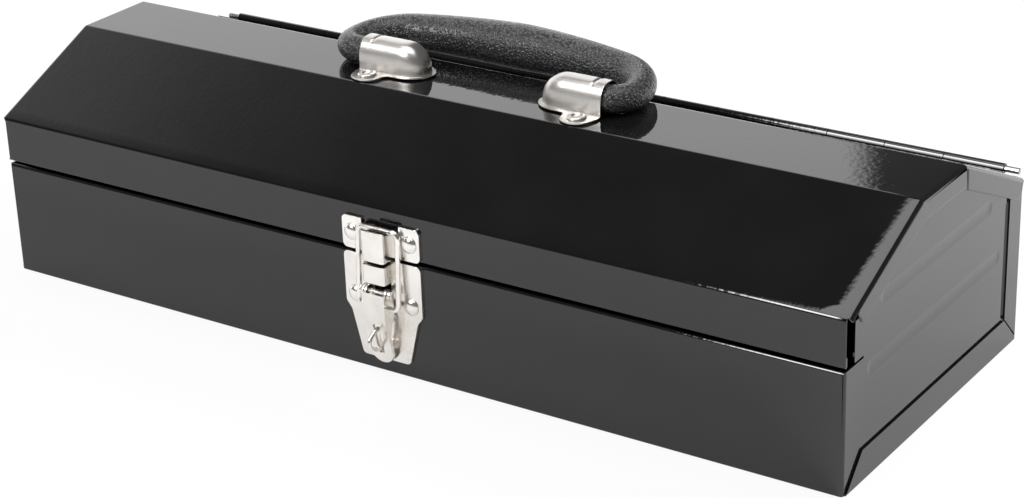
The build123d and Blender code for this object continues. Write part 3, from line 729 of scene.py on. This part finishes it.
class TOOLBOX_OT_latch(Operator):
    """Plate the draw latch"""
    bl_idname = "toolbox.latch"
    bl_label = "Draw latch"

    def execute(self, context):
        edge = context.scene.toolbox_nickel.edge
        for node in ("keeper_plate", "latch_base_plate", "latch_lever", "lever_pivot_pin"):
            piece = softened(node, edge)
            piece.data.materials.append(nickel_material())
            stands_for(piece, BODY_OF[node], "nickel", node)
        dress("latch_bail", nickel_material())
        return {"FINISHED"}


def bracket_outline(look, x):
    """Half width of a bracket's flat rim at x, with its rivet ear blended in."""
    nose_stretch, ear_share = 1.25, 0.98
    nose_round = look.dome_half + look.rim
    run = min(1.0, max(0.0, (x - look.nose) / (nose_round * nose_stretch)))
    rim = nose_round * math.sqrt(max(0.0, 1 - (1 - run) ** 2))
    off = abs(x - look.ear_place)
    if off <= look.ear_radius:
        return max(rim, look.ear_reach + math.sqrt(look.ear_radius ** 2 - off ** 2) * ear_share)
    if off < look.ear_radius + look.ear_blend:
        share = (off - look.ear_radius) / look.ear_blend
        return rim + (look.ear_reach - rim) * (1 - math.sqrt(1 - (1 - share) ** 2))
    return rim


def bracket_mesh(look, side):
    """Stamped half-dome: an arched tunnel with a rounded nose that runs out into a flat rim."""
    nose_steps, dome_steps, tunnel_steps, arch_steps, rim_steps = 8, 22, 44, 30, 7
    nose_power, arch_power, narrowing = 2.3, 2.9, 0.8
    crimp_half, crimp_depth, crimp_start, crimp_end = 1.0 * MM, 0.035, 0.36, 0.64
    least_rim = 0.1 * MM
    shoulder = look.dome_nose + look.dome_length
    stations = [look.nose + (look.dome_nose - look.nose) * i / nose_steps for i in range(nose_steps + 1)]
    stations += [look.dome_nose + look.dome_length * (1 - math.cos(math.pi / 2 * i / dome_steps))
                 for i in range(1, dome_steps + 1)]
    stations += [shoulder + (look.open_end - shoulder) * i / tunnel_steps
                 for i in range(1, tunnel_steps + 1)]
    shape = bmesh.new()
    rows = []
    for x in stations:
        rise = 0.0
        if x > look.dome_nose:
            left = max(0.0, (shoulder - x) / look.dome_length)
            rise = max(0.0, 1 - left ** nose_power) ** (1 / nose_power)
        half = look.dome_half * rise ** narrowing
        height = (look.dome_height - look.sheet) * rise
        crest = 1.0
        off_crimp = x - look.open_end + look.crimp
        if abs(off_crimp) < crimp_half:
            crest -= crimp_depth * math.cos(off_crimp / crimp_half * math.pi / 2)
        edge = max(bracket_outline(look, x), half + least_rim)
        rim = [(edge + (half - edge) * j / rim_steps, 0.0) for j in range(rim_steps)]
        section = [(-across, up) for across, up in rim]
        for j in range(arch_steps + 1):
            turn = math.pi * j / arch_steps
            across = -math.copysign(abs(math.cos(turn)) ** (2 / arch_power), math.cos(turn)) * half
            up = abs(math.sin(turn)) ** (2 / arch_power) * height
            section.append((across, up * crest if crimp_start < j / arch_steps < crimp_end else up))
        section += reversed(rim)
        rows.append([shape.verts.new((side * x, y, ROOF_TOP + look.sheet + z)) for y, z in section])
    for a, b in zip(rows, rows[1:]):
        for j in range(len(a) - 1):
            shape.faces.new((a[j], a[j + 1], b[j + 1], b[j])).smooth = True
    bmesh.ops.remove_doubles(shape, verts=shape.verts, dist=NEAR)
    return upright_mesh("bracket", shape)


class TOOLBOX_OT_brackets(Operator):
    """Stamp the two handle brackets"""
    bl_idname = "toolbox.brackets"
    bl_label = "Handle brackets"

    def execute(self, context):
        look = context.scene.toolbox_bracket
        for side, name in ((-1, "left"), (1, "right")):
            piece = add_object("bracket_" + name, bracket_mesh(look, side))
            adjust(piece.modifiers.new("Draw radius", "SMOOTH"), factor=0.5, iterations=1)
            adjust(piece.modifiers.new("Sheet", "SOLIDIFY"), thickness=look.sheet, offset=-1.0,
                   use_even_offset=True, thickness_clamp=1.0)
            adjust(piece.modifiers.new("Soft edges", "BEVEL"), width=look.edge, segments=2,
                   limit_method="ANGLE", angle_limit=math.radians(55))
            settled(piece)
            piece.data.materials.append(brushed_nickel())
            stands_for(piece, "lid", "nickel", "handle_bracket_" + name)
        return {"FINISHED"}


# Rivets

def finish_tree(tree, source, result, geometry):
    """End a geometry tree with real geometry in its material."""
    real = add(tree, "GeometryNodeRealizeInstances", {0: geometry})
    finish = add(tree, "GeometryNodeSetMaterial", {
        "Geometry": real.outputs[0], "Material": source["Material"]})
    feed(tree, result["Geometry"], finish.outputs[0])
    return tree


def grown(piece, tree, values):
    """Run a geometry tree on a piece with its inputs set, and keep the mesh."""
    grow = piece.modifiers.new("Grow", "NODES")
    grow.node_group = tree
    named = {item.name: item.identifier for item in tree.interface.items_tree if item.in_out == "INPUT"}
    for label, value in values.items():
        grow[named[label]] = value
    return settled(piece)


def rivet_tree():
    """Geometry nodes: one rivet on each point of a mesh, its head along Z and its tail behind the sheet."""
    crown_power, hollow_rim, hollow_floor, base = 0.6, 0.62, 0.34, 1e-7
    sizes = ("Radius", "Dome", "Dimple", "Flatness", "Grip")
    tree, source, result = new_group(
        "Rivet heads",
        {"Geometry": "Geometry", **dict.fromkeys(sizes, "Float"), "Segments": "Int", "Turn": "Vector",
         "Material": "Material"},
        {"Geometry": "Geometry"}, "GeometryNodeTree")
    head = add(tree, "GeometryNodeMeshCone", {
        "Side Segments": HEAD_RINGS, "Radius Top": 0.0, "Vertices": source["Segments"],
        "Radius Bottom": source["Radius"], "Depth": source["Dome"]}, fill_type="TRIANGLE_FAN")
    place = add(tree, "GeometryNodeInputPosition")
    parts = add(tree, "ShaderNodeSeparateXYZ", {0: place.outputs[0]}).outputs
    square = math_node(tree, "ADD", math_node(tree, "MULTIPLY", parts["X"], parts["X"]),
                       math_node(tree, "MULTIPLY", parts["Y"], parts["Y"]))
    share = math_node(tree, "DIVIDE", math_node(tree, "SQRT", square), source["Radius"])
    fall = math_node(tree, "POWER", math_node(tree, "MINIMUM", share, 1.0), source["Flatness"])
    crown = math_node(tree, "POWER", math_node(tree, "SUBTRACT", 1.0, fall), crown_power)
    hollow = math_node(tree, "MULTIPLY", fade(tree, share, hollow_rim, hollow_floor), source["Dimple"])
    height = math_node(tree, "MULTIPLY", math_node(tree, "SUBTRACT", crown, hollow), source["Dome"])
    join = add(tree, "ShaderNodeCombineXYZ", {"X": parts["X"], "Y": parts["Y"], "Z": height})
    lifted = math_node(tree, "GREATER_THAN", parts["Z"], base)
    shape = add(tree, "GeometryNodeSetPosition", {
        "Geometry": head.outputs["Mesh"], "Selection": lifted, "Position": join.outputs[0]}).outputs[0]
    below = add(tree, "ShaderNodeCombineXYZ", {"Z": math_node(tree, "MULTIPLY", source["Grip"], -1.0)})
    tail = add(tree, "GeometryNodeTransform", {
        "Geometry": shape, "Translation": below.outputs[0], "Rotation": (math.pi, 0, 0),
        "Scale": [TAIL_SHARE] * 3})
    both = add(tree, "GeometryNodeJoinGeometry", {0: shape})
    feed(tree, both.inputs[0], tail.outputs[0])
    smooth = add(tree, "GeometryNodeSetShadeSmooth", {"Geometry": both.outputs[0]})
    turn = add(tree, "FunctionNodeEulerToRotation", {0: source["Turn"]})
    spread = add(tree, "GeometryNodeInstanceOnPoints", {
        "Points": source["Geometry"], "Instance": smooth.outputs[0], "Rotation": turn.outputs[0]})
    return finish_tree(tree, source, result, spread.outputs[0])


def rivet_seats(node, across):
    """The middles of a node's two rivets, which stand apart along one axis."""
    places = [vert.co for vert in NODES[node].data.vertices]
    low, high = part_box(node)
    seats = []
    for side in (low[across], high[across]):
        near = [place[across] for place in places if abs(place[across] - side) < RIVET_REACH]
        seat = Vector([(a + b) / 2 for a, b in zip(low, high)])
        seat[across] = (min(near) + max(near)) / 2
        seats.append(seat)
    return seats


def rivet_piece(name, seats, tree, values):
    """Grow the rivet heads of one node on its seats."""
    mesh = bpy.data.meshes.new(name)
    mesh.from_pydata(seats, [], [])
    return grown(add_object(name, mesh), tree, values)


class TOOLBOX_OT_rivets(Operator):
    """Set the rivets of the latch and the brackets"""
    bl_idname = "toolbox.rivets"
    bl_label = "Rivets"

    def execute(self, context):
        look = context.scene.toolbox_rivet
        sheet = context.scene.toolbox_lid.sheet
        tree = rivet_tree()
        front = {"Segments": look.segments, "Material": nickel_material(), "Radius": look.latch_head / 2,
                 "Dome": look.latch_dome, "Dimple": 0.0, "Flatness": look.latch_flatness,
                 "Turn": (math.pi / 2, 0, 0)}
        top = {"Segments": look.segments, "Material": brushed_nickel(), "Radius": look.handle_head / 2,
               "Dome": look.handle_dome, "Dimple": look.handle_dimple, "Flatness": look.handle_flatness,
               "Turn": (0, 0, 0)}
        for node in ("keeper_rivets", "latch_base_rivets"):
            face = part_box(node)[0].y + look.latch_dome
            seats = [Vector((seat.x, face, seat.z)) for seat in rivet_seats(node, 0)]
            front["Grip"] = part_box("lid_shell")[0].y + sheet - face
            piece = rivet_piece(node + "_heads", seats, tree, front)
            stands_for(piece, BODY_OF[node], "nickel", node)
        for node in ("handle_rivets_left", "handle_rivets_right"):
            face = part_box(node)[1].z - look.handle_dome
            seats = [Vector((seat.x, seat.y, face)) for seat in rivet_seats(node, 1)]
            top["Grip"] = face - ROOF_TOP + sheet
            piece = rivet_piece(node + "_heads", seats, tree, top)
            stands_for(piece, BODY_OF[node], "nickel", node)
        return {"FINISHED"}


# Grip

def arc(start, heading, radius, sweep, steps):
    """Points of an arc that turns left from a start and a heading, with its last point and heading."""
    centre = start + Vector((-math.sin(heading), math.cos(heading))) * radius
    points = []
    for i in range(1, steps + 1):
        way = heading + sweep * i / steps
        points.append(centre + Vector((math.sin(way), -math.cos(way))) * radius)
    return points, points[-1], heading + sweep


def grip_line(look):
    """Centre line of the upright grip and, at each point, how far it is between the shoulders."""
    end_steps, bend_steps, shoulder_steps, crown_steps = 10, 20, 40, 110
    crown_x = look.reach - look.shoulder + look.shoulder * math.sin(look.crown)
    start = Vector((look.inner_end, 0.0))
    bend_start = Vector((look.reach - look.bend, 0.0))
    points = [start.lerp(bend_start, i / end_steps) for i in range(end_steps + 1)]
    heading = 0.0
    end = bend_start
    pieces = (
        (look.bend, math.pi / 2, bend_steps),
        (look.shoulder, math.pi / 2 - look.crown, shoulder_steps),
        (crown_x / math.sin(look.crown), 2 * look.crown, crown_steps),
        (look.shoulder, math.pi / 2 - look.crown, shoulder_steps),
        (look.bend, math.pi / 2, bend_steps),
    )
    marks = []
    for radius, sweep, steps in pieces:
        marks.append(len(points) - 1)
        more, end, heading = arc(end, heading, radius, sweep, steps)
        points += more
    marks.append(len(points) - 1)
    last = Vector((-look.inner_end, 0.0))
    points += [end.lerp(last, i / end_steps) for i in range(1, end_steps + 1)]
    lengths = [0.0]
    for a, b in zip(points, points[1:]):
        lengths.append(lengths[-1] + (b - a).length)
    first, final = lengths[marks[1]], lengths[marks[4]]
    shares = [min(1.0, max(0.0, (run - first) / (final - first))) for run in lengths]
    return points, shares


def bar_tree():
    """Geometry nodes: a round bar along a curve, slim at its ends and full in its middle."""
    tree, source, result = new_group(
        "Round bar",
        {"Geometry": "Geometry", "End Radius": "Float", "Middle Radius": "Float", "Fullness": "Float",
         "Sides": "Int", "Material": "Material"},
        {"Geometry": "Geometry"}, "GeometryNodeTree")
    line = add(tree, "GeometryNodeMeshToCurve", {0: source["Geometry"]})
    share = add(tree, "GeometryNodeInputNamedAttribute", {"Name": "share"}, data_type="FLOAT")
    twice = math_node(tree, "MULTIPLY", share.outputs["Attribute"], 2.0)
    off = math_node(tree, "ABSOLUTE", math_node(tree, "SUBTRACT", twice, 1.0))
    full = math_node(tree, "SUBTRACT", 1.0, math_node(tree, "POWER", off, source["Fullness"]))
    room = math_node(tree, "SUBTRACT", source["Middle Radius"], source["End Radius"])
    radius = math_node(tree, "ADD", math_node(tree, "MULTIPLY", room, full), source["End Radius"])
    ring = add(tree, "GeometryNodeCurvePrimitiveCircle", {"Radius": 1.0, "Resolution": source["Sides"]})
    skin = add(tree, "GeometryNodeCurveToMesh", {
        "Curve": line.outputs[0], "Profile Curve": ring.outputs[0], "Scale": radius, "Fill Caps": True})
    smooth = add(tree, "GeometryNodeSetShadeSmooth", {"Geometry": skin.outputs[0]})
    return finish_tree(tree, source, result, smooth.outputs[0])


def bar_piece(name, places, shares, values):
    """A round bar along a line of places, with how far each is along its full stretch."""
    mesh = bpy.data.meshes.new(name)
    mesh.from_pydata(places, [(i, i + 1) for i in range(len(places) - 1)], [])
    mesh.attributes.new("share", "FLOAT", "POINT").data.foreach_set("value", shares)
    return grown(add_object(name, mesh), bpy.data.node_groups.get("Round bar") or bar_tree(), values)


class TOOLBOX_OT_staple(Operator):
    """Bend the padlock staple as a round wire loop"""
    bl_idname = "toolbox.staple"
    bl_label = "Padlock staple"

    def execute(self, context):
        low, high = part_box("padlock_staple")
        radius = (high.x - low.x) / 2
        depth = high.y - low.y - radius
        half = (high.z - low.z) / 2 - radius
        steps, fullness = 48, 0.8
        places = []
        for i in range(steps + 1):
            turn = math.pi * (i / steps - 0.5)
            places.append(Vector((low.x + radius, high.y - depth * math.cos(turn) ** fullness,
                                  (low.z + high.z) / 2 + half * math.sin(turn))))
        piece = bar_piece("padlock_staple_finish", places, [i / steps for i in range(steps + 1)], {
            "End Radius": radius, "Middle Radius": radius, "Fullness": 1.0,
            "Sides": WIRE_SIDES, "Material": nickel_material()})
        stands_for(piece, BODY_OF["padlock_staple"], "nickel", "padlock_staple")
        return {"FINISHED"}


class TOOLBOX_OT_grip(Operator):
    """Mould the vinyl grip along its centre line"""
    bl_idname = "toolbox.grip"
    bl_label = "Vinyl grip"

    def execute(self, context):
        look = context.scene.toolbox_grip
        points, shares = grip_line(look)
        low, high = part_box("handle_grip")
        middle = Vector(((low.x + high.x) / 2 + look.slide, HANDLE_AXIS.y, HANDLE_AXIS.z))
        lay = Matrix.Translation(middle) @ Matrix.Rotation(-look.tilt, 4, "X")
        places = [lay @ Vector((p.x, 0, p.y)) for p in points]
        piece = bar_piece("grip", places, shares, {
            "End Radius": look.end_radius, "Middle Radius": look.middle_radius, "Fullness": look.fullness,
            "Sides": GRIP_SIDES, "Material": vinyl_material()})
        stands_for(piece, "handle", "vinyl", "handle_grip")
        return {"FINISHED"}


# Studio

def soft_light(name, place, target, size, power):
    """A square lamp that looks from a place to a target and isn't mirrored."""
    data = adjust(bpy.data.lights.new(name, "AREA"), shape="RECTANGLE", size=size, size_y=size,
                  energy=power)
    turn = (Vector(target) - Vector(place)).to_track_quat("-Z", "Y").to_euler()
    lamp = adjust(bpy.data.objects.new(name, data), location=place, rotation_euler=turn,
                  visible_glossy=False)
    bpy.context.scene.collection.objects.link(lamp)


def floor_material(look):
    """Pale floor that the camera sees as near white and that keeps a soft shadow."""
    material = bpy.data.materials.new("studio_floor")
    material.use_nodes = True
    tree = material.node_tree
    tree.nodes.clear()
    matte = add(tree, "ShaderNodeBsdfDiffuse", {"Color": look.floor_colour})
    glow = add(tree, "ShaderNodeEmission", {"Color": (1, 1, 1, 1), "Strength": 1.0})
    path = add(tree, "ShaderNodeLightPath").outputs
    share = math_node(tree, "MULTIPLY", path["Is Camera Ray"], look.floor_seen)
    for kind in ("Is Glossy Ray", "Is Transmission Ray"):
        mirrored = math_node(tree, "MULTIPLY", path[kind], look.floor_mirrored)
        share = math_node(tree, "MAXIMUM", share, mirrored)
    mix = add(tree, "ShaderNodeMixShader", {"Fac": share, 1: matte.outputs[0], 2: glow.outputs[0]})
    add(tree, "ShaderNodeOutputMaterial", {"Surface": mix.outputs[0]})
    return material


def studio_world():
    """Dim room with a wall of light, a patch overhead and a small window; white to the camera."""
    world = bpy.data.worlds.new("studio")
    world.use_nodes = True
    bpy.context.scene.world = world
    tree = world.node_tree
    tree.nodes.clear()
    coords = add(tree, "ShaderNodeTexCoord").outputs["Generated"]
    way = add(tree, "ShaderNodeSeparateXYZ", {0: coords}).outputs
    turn = math_node(tree, "ARCTAN2", way["X"], way["Y"])

    def turned(start, end):
        return fade(tree, turn, math.radians(start), math.radians(end))

    def raised(start, end):
        return fade(tree, way["Z"], math.sin(math.radians(start)), math.sin(math.radians(end)))

    def product(first, *others):
        for other in others:
            first = math_node(tree, "MULTIPLY", first, other)
        return first

    side = product(turned(-25.6, -26.6), turned(-125, -85))
    lean, upright = -0.1, 0.995  # the way to the patch overhead
    over = math_node(tree, "ADD", math_node(tree, "MULTIPLY", way["Y"], lean),
                     math_node(tree, "MULTIPLY", way["Z"], upright))
    wall = product(side, raised(55, 34))
    foot = product(side, raised(16, 8))
    roof = fade(tree, over, 0.893, 0.908)
    window = product(fade(tree, way["X"], -0.455, -0.425), fade(tree, way["X"], -0.24, -0.28),
                     fade(tree, way["Y"], -0.05, -0.1), raised(22, 26), raised(54, 48))
    front = turned(20, 70)
    bright = math_node(tree, "MULTIPLY_ADD", wall, WALL_LIGHT, ROOM_LIGHT)
    for light, power in ((foot, FOOT_LIGHT), (roof, ROOF_LIGHT), (window, WINDOW_LIGHT),
                         (front, FRONT_LIGHT)):
        bright = math_node(tree, "ADD", bright, math_node(tree, "MULTIPLY", light, power))
    seen = add(tree, "ShaderNodeLightPath").outputs["Is Camera Ray"]
    strength = add(tree, "ShaderNodeMix", {"Factor": seen, "A": bright, "B": 1.0}, data_type="FLOAT")
    back = add(tree, "ShaderNodeBackground", {"Strength": strength.outputs["Result"]})
    add(tree, "ShaderNodeOutputWorld", {"Surface": back.outputs[0]})


class TOOLBOX_OT_stage(Operator):
    """Set up the floor, the lights and the camera"""
    bl_idname = "toolbox.stage"
    bl_label = "Studio"

    def execute(self, context):
        look = context.scene.toolbox_stage
        mesh = bpy.data.meshes.new("floor")
        corners = [(-1, -1), (1, -1), (1, 1), (-1, 1)]
        places = [(x * FLOOR_HALF, y * FLOOR_HALF, -FLOOR_DROP) for x, y in corners]
        mesh.from_pydata(places, [], [(0, 1, 2, 3)])
        floor = add_object("floor", mesh)
        floor.data.materials.append(floor_material(look))
        soft_light("end_light", look.end_place, look.end_target, look.end_size, look.end_power)
        studio_world()
        data = adjust(bpy.data.cameras.new("camera"), lens=look.lens, sensor_width=36.0,
                      clip_start=0.05, clip_end=50)
        camera = adjust(bpy.data.objects.new("camera", data), location=look.camera_place,
                        rotation_euler=Euler(look.camera_turn, "XYZ"))
        context.scene.collection.objects.link(camera)
        context.scene.camera = camera
        context.scene.view_settings.view_transform = "Standard"
        return {"FINISHED"}


# Panel and registration

class TOOLBOX_PT_panel(Panel):
    """Lists the pieces of the tool box"""
    bl_idname = "TOOLBOX_PT_panel"
    bl_label = "Tool Box"
    bl_space_type = "VIEW_3D"
    bl_region_type = "UI"
    bl_category = "Tool Box"

    def draw(self, context):
        for operator in OPERATORS:
            self.layout.operator(operator.bl_idname)
        for name in SETTINGS:
            group = getattr(context.scene, name)
            box = self.layout.box()
            for key in group.__annotations__:
                box.prop(group, key)


SETTINGS = {
    "toolbox_paint": PaintSettings,
    "toolbox_body": BodySettings,
    "toolbox_lid": LidSettings,
    "toolbox_nickel": NickelSettings,
    "toolbox_grip": GripSettings,
    "toolbox_bracket": BracketSettings,
    "toolbox_rivet": RivetSettings,
    "toolbox_stage": StageSettings,
}
OPERATORS = (
    TOOLBOX_OT_stage,
    TOOLBOX_OT_sheets,
    TOOLBOX_OT_hinge,
    TOOLBOX_OT_latch,
    TOOLBOX_OT_brackets,
    TOOLBOX_OT_rivets,
    TOOLBOX_OT_staple,
    TOOLBOX_OT_grip,
)


def register():
    for name, group in SETTINGS.items():
        bpy.utils.register_class(group)
        setattr(bpy.types.Scene, name, PointerProperty(type=group))
    for operator in OPERATORS:
        bpy.utils.register_class(operator)
    bpy.utils.register_class(TOOLBOX_PT_panel)


def unregister():
    bpy.utils.unregister_class(TOOLBOX_PT_panel)
    for operator in reversed(OPERATORS):
        bpy.utils.unregister_class(operator)
    for name, group in reversed(SETTINGS.items()):
        delattr(bpy.types.Scene, name)
        bpy.utils.unregister_class(group)


def main():
    register()
    bpy.ops.toolbox.stage()
    bpy.ops.toolbox.sheets()
    bpy.ops.toolbox.hinge()
    bpy.ops.toolbox.latch()
    bpy.ops.toolbox.brackets()
    bpy.ops.toolbox.rivets()
    bpy.ops.toolbox.staple()
    bpy.ops.toolbox.grip()


if __name__ == "__main__":
    main()
